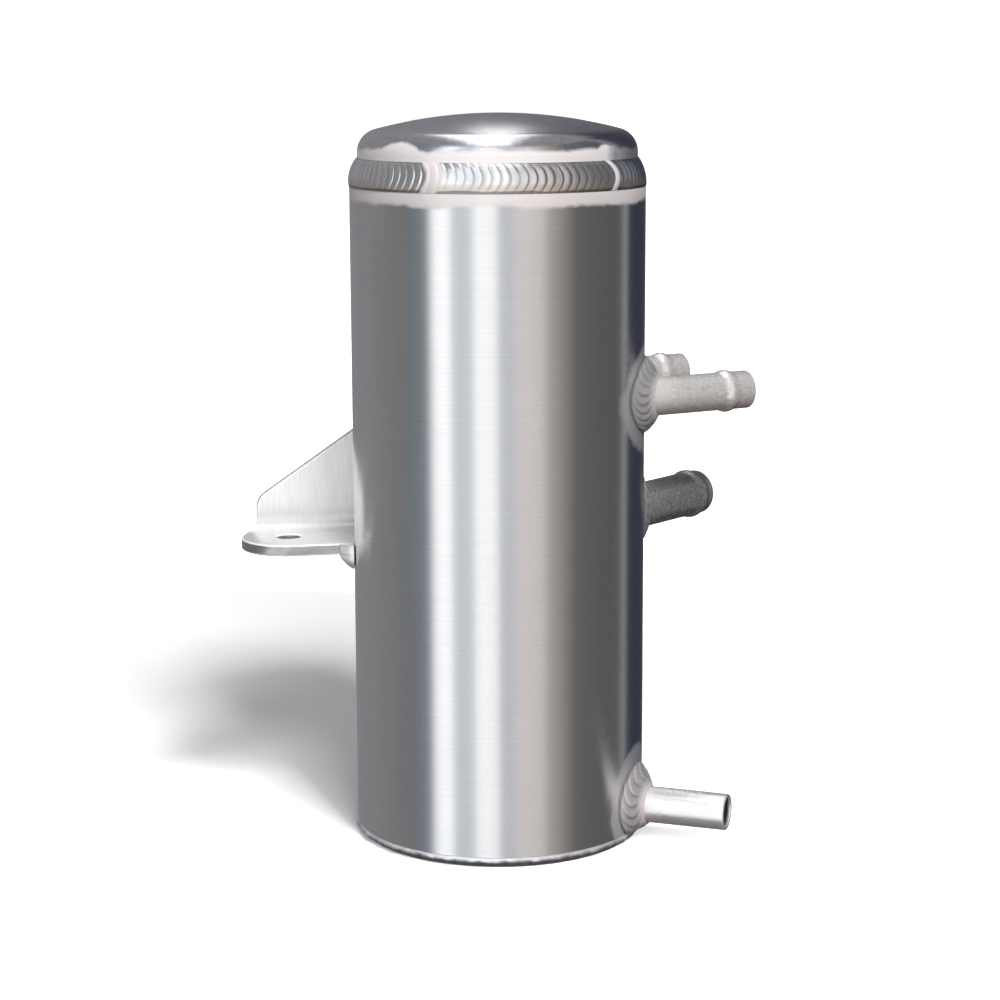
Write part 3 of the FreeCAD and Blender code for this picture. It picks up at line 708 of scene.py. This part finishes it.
fillet_metal = weld_metal(
    "fillet_weld_metal", (0.6, 0.585, 0.6, 1), (0.25, 0.24, 0.27, 1), (0.27, 0.4),
    (0.56, 0.54, 0.55, 1), bright=0.9, shine=0.7,
)
for name, (turn, offset, height, outer) in HOLES.items():
    at_drain = name == "drain"
    leg = DRAIN_LEG if at_drain else FILLET_LEG
    spread = DRAIN_SPREAD if at_drain else FILLET_SPREAD
    pipe_radius = outer + WELD_GAP
    wall_radius = TUBE_RADIUS + WELD_GAP
    floor = TUBE_FOOT + WELD_GAP - height
    spot = spigot_spot(turn, offset, height)

    def on_wall(radius, angle, lift=0.0):
        """A point on the tank at this distance from the pipe's axis, in the spigot's frame."""
        side = radius * math.sin(angle)
        out = math.sqrt(wall_radius**2 - (side - offset) ** 2)
        return Vector((side, max(radius * math.cos(angle) + lift, floor), out))

    def face(way, across):
        angle = 2 * math.pi * way
        wall_toe = on_wall(pipe_radius + spread, angle, FILLET_RISE)
        pipe_toe = on_wall(pipe_radius, angle) + Vector((0, 0, leg))
        outwards = Vector((math.sin(angle), math.cos(angle), 1)).normalized()
        return spot @ (wall_toe.lerp(pipe_toe, across) + outwards * arch(across) * FILLET_CROWN)

    def root(way):
        return spot @ on_wall(pipe_radius, 2 * math.pi * way)

    mesh = bead(
        name + "_fillet", fillet_metal, face, root, DRAIN_RIPPLES if at_drain else FILLET_RIPPLES,
        bow=-1.6, along=11,
        Depth=0.00026, Patches=0.3, Lean=-1.0, Roughness=0.00012, Wash=0.85, Seed=3,
    )
    new_piece(name + "_fillet", mesh, None, name + "_spigot_weld", slot="weld_aluminium")


# Cap
# A pressed aluminium head with a straight skirt inside the tube, a tight knuckle and a low crown.
# It was buffed bright, then etched white in a ragged band above the seam.

CAP_RADIUS = 0.036
CAP_SHEET = 0.002
CAP_HEIGHT = 0.023
CAP_INSERT = 0.008
CAP_CROWN = 0.125
CAP_KNUCKLE = 0.006
CAP_FOOT = TUBE_TOP - CAP_INSERT
# the etched white climbs higher beside each stop of the torch: angle round the tank and reach
SPLASHES = ((-143, 0.009), (-50, 0.0075), (70, 0.007))
SPLASH_HEIGHT = 0.1778
SPLASH_STRETCH = 0.58
CAP_WHITE = (0.78, 0.74, 0.735, 1)
# the white band over the seam: past its lower edge, its upper edge and its waver
CAP_BAND = (0.17, 0.1812, 0.0024)
# the way round to where the white band is faded as painted shade, how much of the white is left
# there, and how square on to that way the faded part starts and ends
SHADED_TURN = -15
SHADED_WHITE_LEFT = 0.2
SHADED_EDGES = (0.86, 0.8)


def dished_side(radius, crown, knuckle, top, knuckle_steps, crown_steps):
    """The profile of a dished head from its skirt over the knuckle to its middle."""
    depth = math.sqrt((crown - knuckle) ** 2 - (radius - knuckle) ** 2)
    centre = top - crown
    lean = math.asin((radius - knuckle) / (crown - knuckle))
    hub = radius - knuckle, centre + depth
    points = []
    for turn in np.linspace(0, math.pi / 2 - lean, knuckle_steps):
        points.append((hub[0] + knuckle * math.cos(turn), hub[1] + knuckle * math.sin(turn)))
    for turn in np.linspace(lean, 0, crown_steps)[1:]:
        points.append((crown * math.sin(turn), centre + crown * math.cos(turn)))
    return points


def pressed_cap():
    outside = dished_side(CAP_RADIUS, CAP_CROWN, CAP_KNUCKLE, CAP_HEIGHT, 14, 26)
    measures = (size - CAP_SHEET for size in (CAP_RADIUS, CAP_CROWN, CAP_KNUCKLE, CAP_HEIGHT))
    inside = dished_side(*measures, 6, 10)
    skirt = [(CAP_RADIUS - CAP_SHEET, 0), (CAP_RADIUS, 0), (CAP_RADIUS, 0.01)]
    spot = Matrix.Translation((0, 0, CAP_FOOT))
    return turned("pressed_cap", skirt + outside + inside[::-1], 256, spot)


def level_way(turn):
    """The level way at a turn from +x, in degrees."""
    return Vector((math.cos(math.radians(turn)), math.sin(math.radians(turn)), 0))


buffed, tree, shader, colour, gloss = satin_metal(
    "buffed_cap", (0.72, 0.71, 0.74, 1), (0.86, 0.85, 0.88, 1), (0.19, 0.25), 900.0, 0.000006
)
splashes = [
    ((0, 0, SPLASH_HEIGHT), level_way(turn), reach, SPLASH_STRETCH) for turn, reach in SPLASHES
]
mask = masks_of(tree, splashes, CAP_BAND, 1.0)
# painted shade: the white band fades on the cap's side turned far to the right
shaded_way = level_way(SHADED_TURN) / CAP_RADIUS
towards = vector_maths(tree, "DOT_PRODUCT", object_coordinates(tree), shaded_way)
white_out_of_shade = between(tree, towards, SHADED_WHITE_LEFT, 1.0, *SHADED_EDGES)
etch(tree, shader, colour, gloss, times(tree, mask, white_out_of_shade), white=CAP_WHITE)
new_piece("pressed_cap", pressed_cap(), buffed, "domed_cap", slot="cap_aluminium")


# Cap seam
# The broad bead that joins the cap to the bevelled end of the tube, run in three passes.
# Each pass starts and stops in a white lump that was cleaned with the brush.

SEAM_RIPPLES = 106
SEAM_RISE = 0.0039
SEAM_CROWN = 0.00065
SEAM_BOW = 0.85
# how far the seam swells at a lap, and how often and how far it wavers round the tank
LAP_SWELL = 0.0003
SEAM_WAVES = 11
SEAM_WAVE = 0.00012
# where one pass laps over the next: the share of the way round, the half width in metres along the
# seam, and how ragged the lap's edge is
LAPS = ((0.6475, 0.0027, 0.0018), (0.8575, 0.0012, 0.0003), (0.208, 0.0016, 0.001))


def round_tank(way, radius, height):
    """A point at a share of the way round the tank's axis."""
    angle = 2 * math.pi * way
    return Vector((radius * math.cos(angle), radius * math.sin(angle), height))


def seam_face(way, across):
    low_radius, low = TUBE_RADIUS + WELD_GAP, TUBE_TOP - TUBE_BEVEL
    high_radius, high = CAP_RADIUS + WELD_GAP, TUBE_TOP + SEAM_RISE
    straight = way - SEAM_BOW * arch(across) / SEAM_RIPPLES
    swell = 0.0
    for spot, half, _ in LAPS:
        off = 2 * math.pi * TUBE_RADIUS * ((straight - spot + 0.5) % 1 - 0.5)
        swell += math.exp(-((off / half) ** 2))
    wave = SEAM_WAVE * math.sin(SEAM_WAVES * 2 * math.pi * way)
    lift = arch(across) * (SEAM_CROWN + LAP_SWELL * swell + wave)
    radius = low_radius + (high_radius - low_radius) * across + lift
    return round_tank(way, radius, low + (high - low) * across + 0.3 * lift)


def seam_root(way):
    return round_tank(way, CAP_RADIUS + WELD_GAP, TUBE_TOP + WELD_GAP)


around = 2 * math.pi * TUBE_RADIUS
seam_metal = weld_metal(
    "seam_weld_metal", (0.95, 0.95, 0.96, 1), (0.4, 0.41, 0.45, 1), (0.24, 0.36),
    (0.76, 0.66, 0.56, 1), laps=[(spot, half / around, rag / around) for spot, half, rag in LAPS],
)
mesh = bead(
    "cap_seam", seam_metal, seam_face, seam_root, SEAM_RIPPLES, bow=SEAM_BOW, along=10, across=14,
    Depth=0.0002, Patches=0.2, Lean=1.0, Roughness=0.00008, Seed=7,
)
new_piece("cap_seam", mesh, None, "cap_seam_weld", slot="weld_aluminium")


# Base seam
# A thin bead in the corner between the tube's lower end and the base, rough and dressed flat.
# It was wiped over with a file, so its ripples are faint and broken.

BASE_RIM = TUBE_RADIUS - 0.0017
BASE_TOP = 0.003
BASE_SEAM_FLOOR = 0.00012
BASE_CROWN = 0.0008
BASE_RIPPLES = 72
# how far, how often and from where the bead wavers round the tank
BASE_WAVES = ((0.00018, 17, 1.0), (0.00014, 41, 0.0))


def base_face(way, across):
    rim, outside = BASE_RIM + WELD_GAP, TUBE_RADIUS - WELD_GAP
    top = BASE_TOP - WELD_GAP
    uneven = sum(
        depth * math.sin(count * 2 * math.pi * way + start) for depth, count, start in BASE_WAVES
    )
    radius = outside + (rim - outside) * across + arch(across) * (BASE_CROWN + uneven)
    return round_tank(way, radius, top + (BASE_SEAM_FLOOR - top) * across)


def base_root(way):
    return round_tank(way, BASE_RIM + WELD_GAP, BASE_TOP - WELD_GAP)


# painted shade: the underside of this bead, towards the base, is darkened near black
base_metal = weld_metal(
    "base_weld_metal", (0.68, 0.68, 0.76, 1), (0.38, 0.38, 0.44, 1), (0.3, 0.45),
    (0.97, 0.97, 1.0, 1), crease_shade=(0.01, 0.01, 0.02, 1), crease_shade_reach=(-0.1, 0.42), shine=0.8,
)
mesh = bead(
    "base_seam", base_metal, base_face, base_root, BASE_RIPPLES, bow=-0.4, along=8, across=10,
    Depth=0.00008, Lean=-1.0, Roughness=0.0006, Seed=11,
)
new_piece("base_seam", mesh, None, "base_seam_weld", slot="weld_aluminium")


# Bracket
# One piece of aluminium sheet: a level foot with a bolt hole and a round end, and a gusset folded
# up from it. The edges are eased with a file and the faces left satin.

BRACKET_TOP = 0.0776
EASED_EDGE = 0.0004
SHARP = math.radians(40)
# the fold lies past this side and under this height
FOLD_START = 0.0224
FOLD_END = 0.0817


def copied(node, name):
    """A merged copy of a CAD node's mesh, with its flat faces whole again."""
    shape = bmesh.new()
    shape.from_mesh(nodes[node].data)
    bmesh.ops.remove_doubles(shape, verts=shape.verts, dist=1e-7)
    flat = {"verts": shape.verts, "edges": shape.edges}
    bmesh.ops.dissolve_limit(shape, angle_limit=math.radians(0.5), **flat)
    mesh = bpy.data.meshes.new(name)
    shape.to_mesh(mesh)
    shape.free()
    return mesh


def unfolded_sheet(tree, scale):
    """Coordinates on the sheet before it was folded, so the grain runs on across the bend."""
    parts = add(tree, "ShaderNodeSeparateXYZ", {0: object_coordinates(tree)}).outputs
    along_bend = times(tree, parts[0], scale[0])
    over_bend = times(tree, maths(tree, "ADD", parts[1], parts[2]), scale[1])
    return add(tree, "ShaderNodeCombineXYZ", {0: along_bend, 1: over_bend}).outputs[0]


def filed(edge):
    """Whether an edge is sharp, clear of the fold and clear of the tank."""
    if edge.calc_face_angle(0.0) < SHARP:
        return False
    spots = [corner.co for corner in edge.verts]
    folded = any(spot.y > FOLD_START and spot.z < FOLD_END for spot in spots)
    at_tank = all(spot.xy.length < TUBE_RADIUS + EASED_EDGE for spot in spots)
    return not folded and not at_tank


blank = placed("bracket_blank", copied("mounting_bracket", "bracket_blank"))
blank.data.shade_smooth()
shape = bmesh.new()
shape.from_mesh(blank.data)
shares = [float(filed(edge)) for edge in shape.edges]
for edge, share in zip(shape.edges, shares):
    edge.smooth = share > 0 or edge.calc_face_angle(0.0) < SHARP
shape.to_mesh(blank.data)
shape.free()
blank.data.attributes.new("bevel_weight_edge", "FLOAT", "EDGE").data.foreach_set("value", shares)
eased = blank.modifiers.new("eased", "BEVEL")
eased.width, eased.segments, eased.limit_method = EASED_EDGE, 3, "WEIGHT"
eased.harden_normals = True
eased.use_clamp_overlap = False
# the eased edges take the third finish, a painted highlight
eased.material = 2
satin = plain_metal(
    "satin_bracket", (1700, 110, 1), (0.69, 0.69, 0.685, 1), (0.88, 0.88, 0.875, 1), (0.28, 0.38),
    contrast=1.1, lay=unfolded_sheet, metallic=0.72,
)
sheared = plain_metal(
    "sheared_edge", (200, 200, 900), (0.42, 0.42, 0.42, 1), (0.62, 0.62, 0.62, 1), (0.3, 0.4)
)
# a light, less metallic finish on the eased edges: a painted highlight along them
edge_highlight = plain_metal(
    "rubbed_edge", (300, 300, 300), (0.7, 0.7, 0.7, 1), (0.94, 0.94, 0.94, 1), (0.3, 0.4),
    metallic=0.35,
)
blank.data.materials.clear()
for metal in (satin, sheared, edge_highlight):
    blank.data.materials.append(metal)
mesh = settled(blank)
mesh.name = "folded_bracket"
for polygon in mesh.polygons:
    if polygon.center.z < BRACKET_TOP and abs(polygon.normal.z) < 0.2:
        polygon.material_index = 1
new_piece("folded_bracket", mesh, None, "mounting_bracket", slot="bracket_aluminium")


# Bracket welds
# A short fillet under the foot that turns up round its front edge, and an upright one behind the
# gusset. Both are single runs with plain ripples.

BRACKET_SHEET = 0.003
BRACKET_FRONT = 0.004
BRACKET_REAR = 0.0295
BEND_INSIDE = 0.004
BRACKET_LEG = 0.0038
GUSSET_RISE = 0.034


def on_bracket_side(side):
    """A point on the tank's bracket side and the way out and round it."""
    out = Vector((-math.sqrt(TUBE_RADIUS**2 - side**2), side, 0)) / TUBE_RADIUS
    return out * TUBE_RADIUS, out, Vector((-out.y, out.x, 0))


bracket_weld = weld_metal(
    "bracket_weld_metal", (0.95, 0.945, 0.94, 1), (0.78, 0.78, 0.79, 1), (0.2, 0.3),
    (0.92, 0.915, 0.91, 1), crease_shade_reach=(0.0, 1.05), bright=0.8, shine=0.55,
)


def fillet(name, node, joint, ripples):
    """An open fillet. joint(way) gives its corner and the ways of its two legs."""
    clear = 2 * WELD_GAP

    def face(way, across):
        corner, first, second = joint(way)
        toes = first * (1 - across) + second * across
        outwards = (first + second).normalized()
        return corner + toes * BRACKET_LEG + outwards * (clear + arch(across) * FILLET_CROWN)

    def root(way):
        corner, first, second = joint(way)
        return corner + (first + second).normalized() * clear

    ripple = {"Depth": 0.00015, "Lean": 1.0, "Roughness": 0.00008, "Seed": 5}
    mesh = bead(name, bracket_weld, face, root, ripples, closed=False, along=8, **ripple)
    new_piece(name, mesh, None, node, slot="weld_aluminium")


foot_under = BRACKET_TOP - BRACKET_SHEET
foot_flat_end = BRACKET_REAR - BEND_INSIDE - BRACKET_SHEET
foot_first = math.asin(BRACKET_FRONT / TUBE_RADIUS)
foot_along = TUBE_RADIUS * (math.asin(foot_flat_end / TUBE_RADIUS) - foot_first)
foot_length = BRACKET_SHEET + BRACKET_LEG + foot_along


def foot_joint(way):
    run = way * foot_length
    past_turn = run - BRACKET_SHEET - BRACKET_LEG
    if past_turn > 0:
        spot, out, _ = on_bracket_side(TUBE_RADIUS * math.sin(foot_first + past_turn / TUBE_RADIUS))
        spot.z = foot_under
        return spot, Vector((0, 0, -1)), out
    spot, out, around = on_bracket_side(BRACKET_FRONT)
    spot.z = foot_under + max(0.0, BRACKET_SHEET - run)
    share = max(0.0, run - BRACKET_SHEET) / BRACKET_LEG
    lean = share * math.pi / 2
    along_edge = Vector((-1, 0, 0)) * (1 - share) + out * share
    return spot, around * math.cos(lean) + Vector((0, 0, -1)) * math.sin(lean), along_edge


def gusset_joint(way):
    spot, out, around = on_bracket_side(BRACKET_REAR)
    low = BRACKET_TOP + BEND_INSIDE + BRACKET_SHEET
    spot.z = low + way * (GUSSET_RISE - BEND_INSIDE - 2 * BRACKET_SHEET)
    return spot, -around, Vector((-1, 0, 0))


fillet("foot_fillet", "bracket_foot_weld", foot_joint, 12)
fillet("gusset_fillet", "bracket_gusset_weld", gusset_joint, 11)


# Baffle tacks
# Three short tacks that hold the baffle from above. They are out of sight once the cap is on.

for tack in range(1, 4):
    dress(nodes[f"baffle_tack_weld_{tack}"], rolled)


# Studio
# A pale floor, two soft lamps high at the front right, and glowing cards round and over the can
# that the brushed wall mirrors as streaks. The camera stands where the photograph was taken.

CAMERA_SPOT = (-0.1095, -0.62101, 0.20673)
CAMERA_LENS = 87.78
CAMERA_TILT = 79.38
CAMERA_ROLL = 0.21
CAMERA_TURN = -10.07
CARD_RADIUS = 1.2
CARD_LOW = -0.9
CARD_HIGH = 1.5
# where each card starts and ends, counted to the right from the way to the camera, its light at
# both ends and its tint
CARDS = {
    "left_back": (-180, -168, 0.17, 0.25, (1.0, 0.97, 1.06)),
    "left_side": (-168, -125, 0.25, 0.26, (1.0, 0.98, 1.03)),
    "left_wall": (-125, -72, 0.27, 0.21, (1.0, 0.99, 1.01)),
    "left_edge": (-72, -54, 0.22, 0.24, (0.86, 1.02, 1.14)),
    "left_strip": (-50, -36, 1.5, 1.45, (0.99, 1.0, 1.01)),
    "window_blind": (-36, -19, 0.72, 0.82, (0.92, 1.0, 1.06)),
    "window": (-18, 0, 1.42, 1.3, (1.0, 1.0, 1.0)),
    "grey_wall": (0, 13, 0.66, 0.72, (0.96, 1.0, 1.07)),
    "warm_wall": (13, 36, 0.82, 0.74, (1.05, 0.99, 0.96)),
    "warm_wall_end": (36, 60, 0.52, 0.18, (1.09, 1.0, 0.94)),
    "right_dark": (60, 111, 0.15, 0.1, (1.0, 0.99, 1.02)),
    "right_strip": (111, 119, 0.34, 0.34, (1.0, 1.0, 1.03)),
    "far_right": (119, 155, 0.05, 0.05, (0.8, 0.9, 1.3)),
    "right_side": (155, 168, 0.06, 0.09, (0.95, 0.95, 1.1)),
    "right_back": (168, 180, 0.09, 0.17, (0.98, 0.96, 1.08)),
}
CEILING_GLOW = (0.26, 0.26, 0.27, 1)
GROUND_GLOW = (0.15, 0.132, 0.118, 1)
SKYLIGHT_GLOW = (1.5, 1.48, 1.5, 1)
# the skylight's sides left and right of the can, and its ends towards and away from the camera
SKYLIGHT = (-0.42, 0.22, -1.0, 1.15)
SKYLIGHT_LEVEL = CARD_HIGH - 0.02
TOP_GLOW = (0.85, 0.84, 0.85, 1)
# where a flat card starts and ends, its lower and upper edge, and its distance
BACK_WINDOW = (177, 183, 0.8, 1.5, 0.98 * CARD_RADIUS)
LEFT_FILL = (-110, -50, -0.2, 0.4, 0.9 * CARD_RADIUS)
FILL_GLOW = (1.3, 1.28, 1.3, 1)
FLOOR_WHITE = (0.8, 0.8, 0.8, 1)
FLOOR_BOUNCE = (0.15, 0.13, 0.12, 1)
# the middle of the cast shadow, and how far from it the plain paint turns to pure white
SHADOW_MIDDLE = (-0.08, 0.15, 0)
SHADOW_EDGES = (0.15, 0.23)
WORLD_LIGHT = 0.32
LAMP_DISTANCE = 3.0
LAMP_AIM = 0.1


def bare_tree(holder):
    """The emptied node tree of a material or a world."""
    holder.use_nodes = True
    holder.node_tree.nodes.clear()
    return holder.node_tree


def from_camera(turn):
    """The way to a turn counted to the right from the way to the camera, in degrees."""
    return level_way(CAMERA_TURN - 90 + turn)


card_light = bpy.data.materials.new("card_light")
tree = bare_tree(card_light)
glow = add(tree, "ShaderNodeAttribute", attribute_name="glow").outputs["Color"]
light = add(tree, "ShaderNodeEmission", {"Color": glow, "Strength": 1.0})
add(tree, "ShaderNodeOutputMaterial", {"Surface": light.outputs[0]})


def card(name, points, faces, glows):
    """A glowing card that only the can sees."""
    mesh = bpy.data.meshes.new(name)
    mesh.from_pydata(points, [], faces)
    mesh.attributes.new("glow", "FLOAT_COLOR", "POINT").data.foreach_set("color", glows)
    mesh.materials.append(card_light)
    holder = placed(name, mesh)
    holder.visible_camera = False
    holder.visible_shadow = False
    return holder


def flat_card(name, start, end, low, high, distance, glow):
    """An upright card between two turns from the way to the camera."""
    first, last = from_camera(start) * distance, from_camera(end) * distance
    points = [first + Vector((0, 0, low)), last + Vector((0, 0, low))]
    points += [last + Vector((0, 0, high)), first + Vector((0, 0, high))]
    return card(name, points, [(0, 1, 2, 3)], glow * 4)


for name, (start, end, first, last, tint) in CARDS.items():
    steps = max(2, int((end - start) / 3))
    points, glows, faces = [], [], []
    for i in range(steps + 1):
        share = i / steps
        spot = from_camera(start + (end - start) * share) * CARD_RADIUS
        level = first + (last - first) * share
        for z in (CARD_LOW, CARD_HIGH):
            points.append((spot.x, spot.y, z))
            glows.extend([level * tint[0], level * tint[1], level * tint[2], 1.0])
        if i:
            faces.append((2 * i - 2, 2 * i, 2 * i + 1, 2 * i - 1))
    card(name, points, faces, glows)

LIDS = {"ceiling": (CARD_HIGH, CEILING_GLOW), "ground": (CARD_LOW, GROUND_GLOW)}
for name, (height, glow) in LIDS.items():
    rim = [level_way(10 * step) * CARD_RADIUS + Vector((0, 0, height)) for step in range(36)]
    card(name, rim, [tuple(range(36))], glow * 36)

facing = Matrix.Rotation(math.radians(CAMERA_TURN), 4, "Z")
left, right, front, back = SKYLIGHT
corners = [(left, front), (right, front), (right, back), (left, back)]
corners = [facing @ Vector((x, y, SKYLIGHT_LEVEL)) for x, y in corners]
# the mirrored and the matt share of the metal each see cards of their own
skylight = card("skylight", corners, [(0, 1, 2, 3)], SKYLIGHT_GLOW * 4)
skylight.visible_diffuse = False
top_light = card("top_light", corners, [(0, 1, 2, 3)], TOP_GLOW * 4)
top_light.visible_glossy = False
left_fill = flat_card("left_fill", *LEFT_FILL, FILL_GLOW)
left_fill.visible_glossy = False
flat_card("back_window", *BACK_WINDOW, SKYLIGHT_GLOW)


def seen_rays(tree):
    """1 on the camera's own rays, and 1 on those and on mirrored and refracted ones."""
    ray = add(tree, "ShaderNodeLightPath").outputs
    mirrored = maths(tree, "MAXIMUM", ray["Is Glossy Ray"], ray["Is Transmission Ray"])
    return ray["Is Camera Ray"], maths(tree, "MAXIMUM", ray["Is Camera Ray"], mirrored)


floor_mesh = bpy.data.meshes.new("floor")
floor_mesh.from_pydata([(-6, -6, 0), (6, -6, 0), (6, 6, 0), (-6, 6, 0)], [], [(0, 1, 2, 3)])
floor = placed("floor", floor_mesh)
floor_paint = bpy.data.materials.new("floor_paint")
tree = bare_tree(floor_paint)
direct, seen = seen_rays(tree)
# the paint is plain near the can, where it shows the shadow, and glows white from there on: painted
# light that also hides any shadow cast farther out
from_shadow = vector_maths(tree, "SUBTRACT", object_coordinates(tree), SHADOW_MIDDLE)
away = vector_maths(tree, "LENGTH", from_shadow)
glow = times(tree, seen, between(tree, away, 0.0, 1.0, *SHADOW_EDGES))
paint = blend_colours(tree, direct, FLOOR_BOUNCE, FLOOR_WHITE)
matt = add(tree, "ShaderNodeBsdfDiffuse", {"Color": paint})
white = add(tree, "ShaderNodeEmission", {"Color": (1, 1, 1, 1), "Strength": glow})
both = add(tree, "ShaderNodeAddShader", {0: matt.outputs[0], 1: white.outputs[0]})
add(tree, "ShaderNodeOutputMaterial", {"Surface": both.outputs[0]})
floor_mesh.materials.append(floor_paint)
floor.visible_glossy = False

scene = bpy.context.scene
scene.world = bpy.data.worlds.new("studio")
tree = bare_tree(scene.world)
level = between(tree, seen_rays(tree)[1], WORLD_LIGHT, 1.0)
sky = add(tree, "ShaderNodeBackground", {"Color": (1, 1, 1, 1), "Strength": level})
add(tree, "ShaderNodeOutputWorld", {"Surface": sky.outputs[0]})


def lamp(name, turn, lift, size, power):
    """A soft square lamp aimed at the middle of the can, which the metal doesn't mirror."""
    rise = math.radians(lift)
    way = from_camera(turn) * math.cos(rise) + Vector((0, 0, math.sin(rise)))
    light = bpy.data.lights.new(name, "AREA")
    light.size, light.energy = size, power
    holder = placed(name, light)
    holder.location = way * LAMP_DISTANCE + Vector((0, 0, LAMP_AIM))
    holder.rotation_euler = way.to_track_quat("Z", "Y").to_euler()
    holder.visible_glossy = False


lamp("key_lamp", 26, 48, 0.6, 98)
lamp("low_lamp", 13, 37, 0.7, 45)

camera = placed("camera", bpy.data.cameras.new("camera"))
camera.data.lens = CAMERA_LENS
camera.data.sensor_width = 36
camera.location = CAMERA_SPOT
camera.rotation_euler = [math.radians(a) for a in (CAMERA_TILT, CAMERA_ROLL, CAMERA_TURN)]
scene.camera = camera
scene.view_settings.view_transform = "Standard"
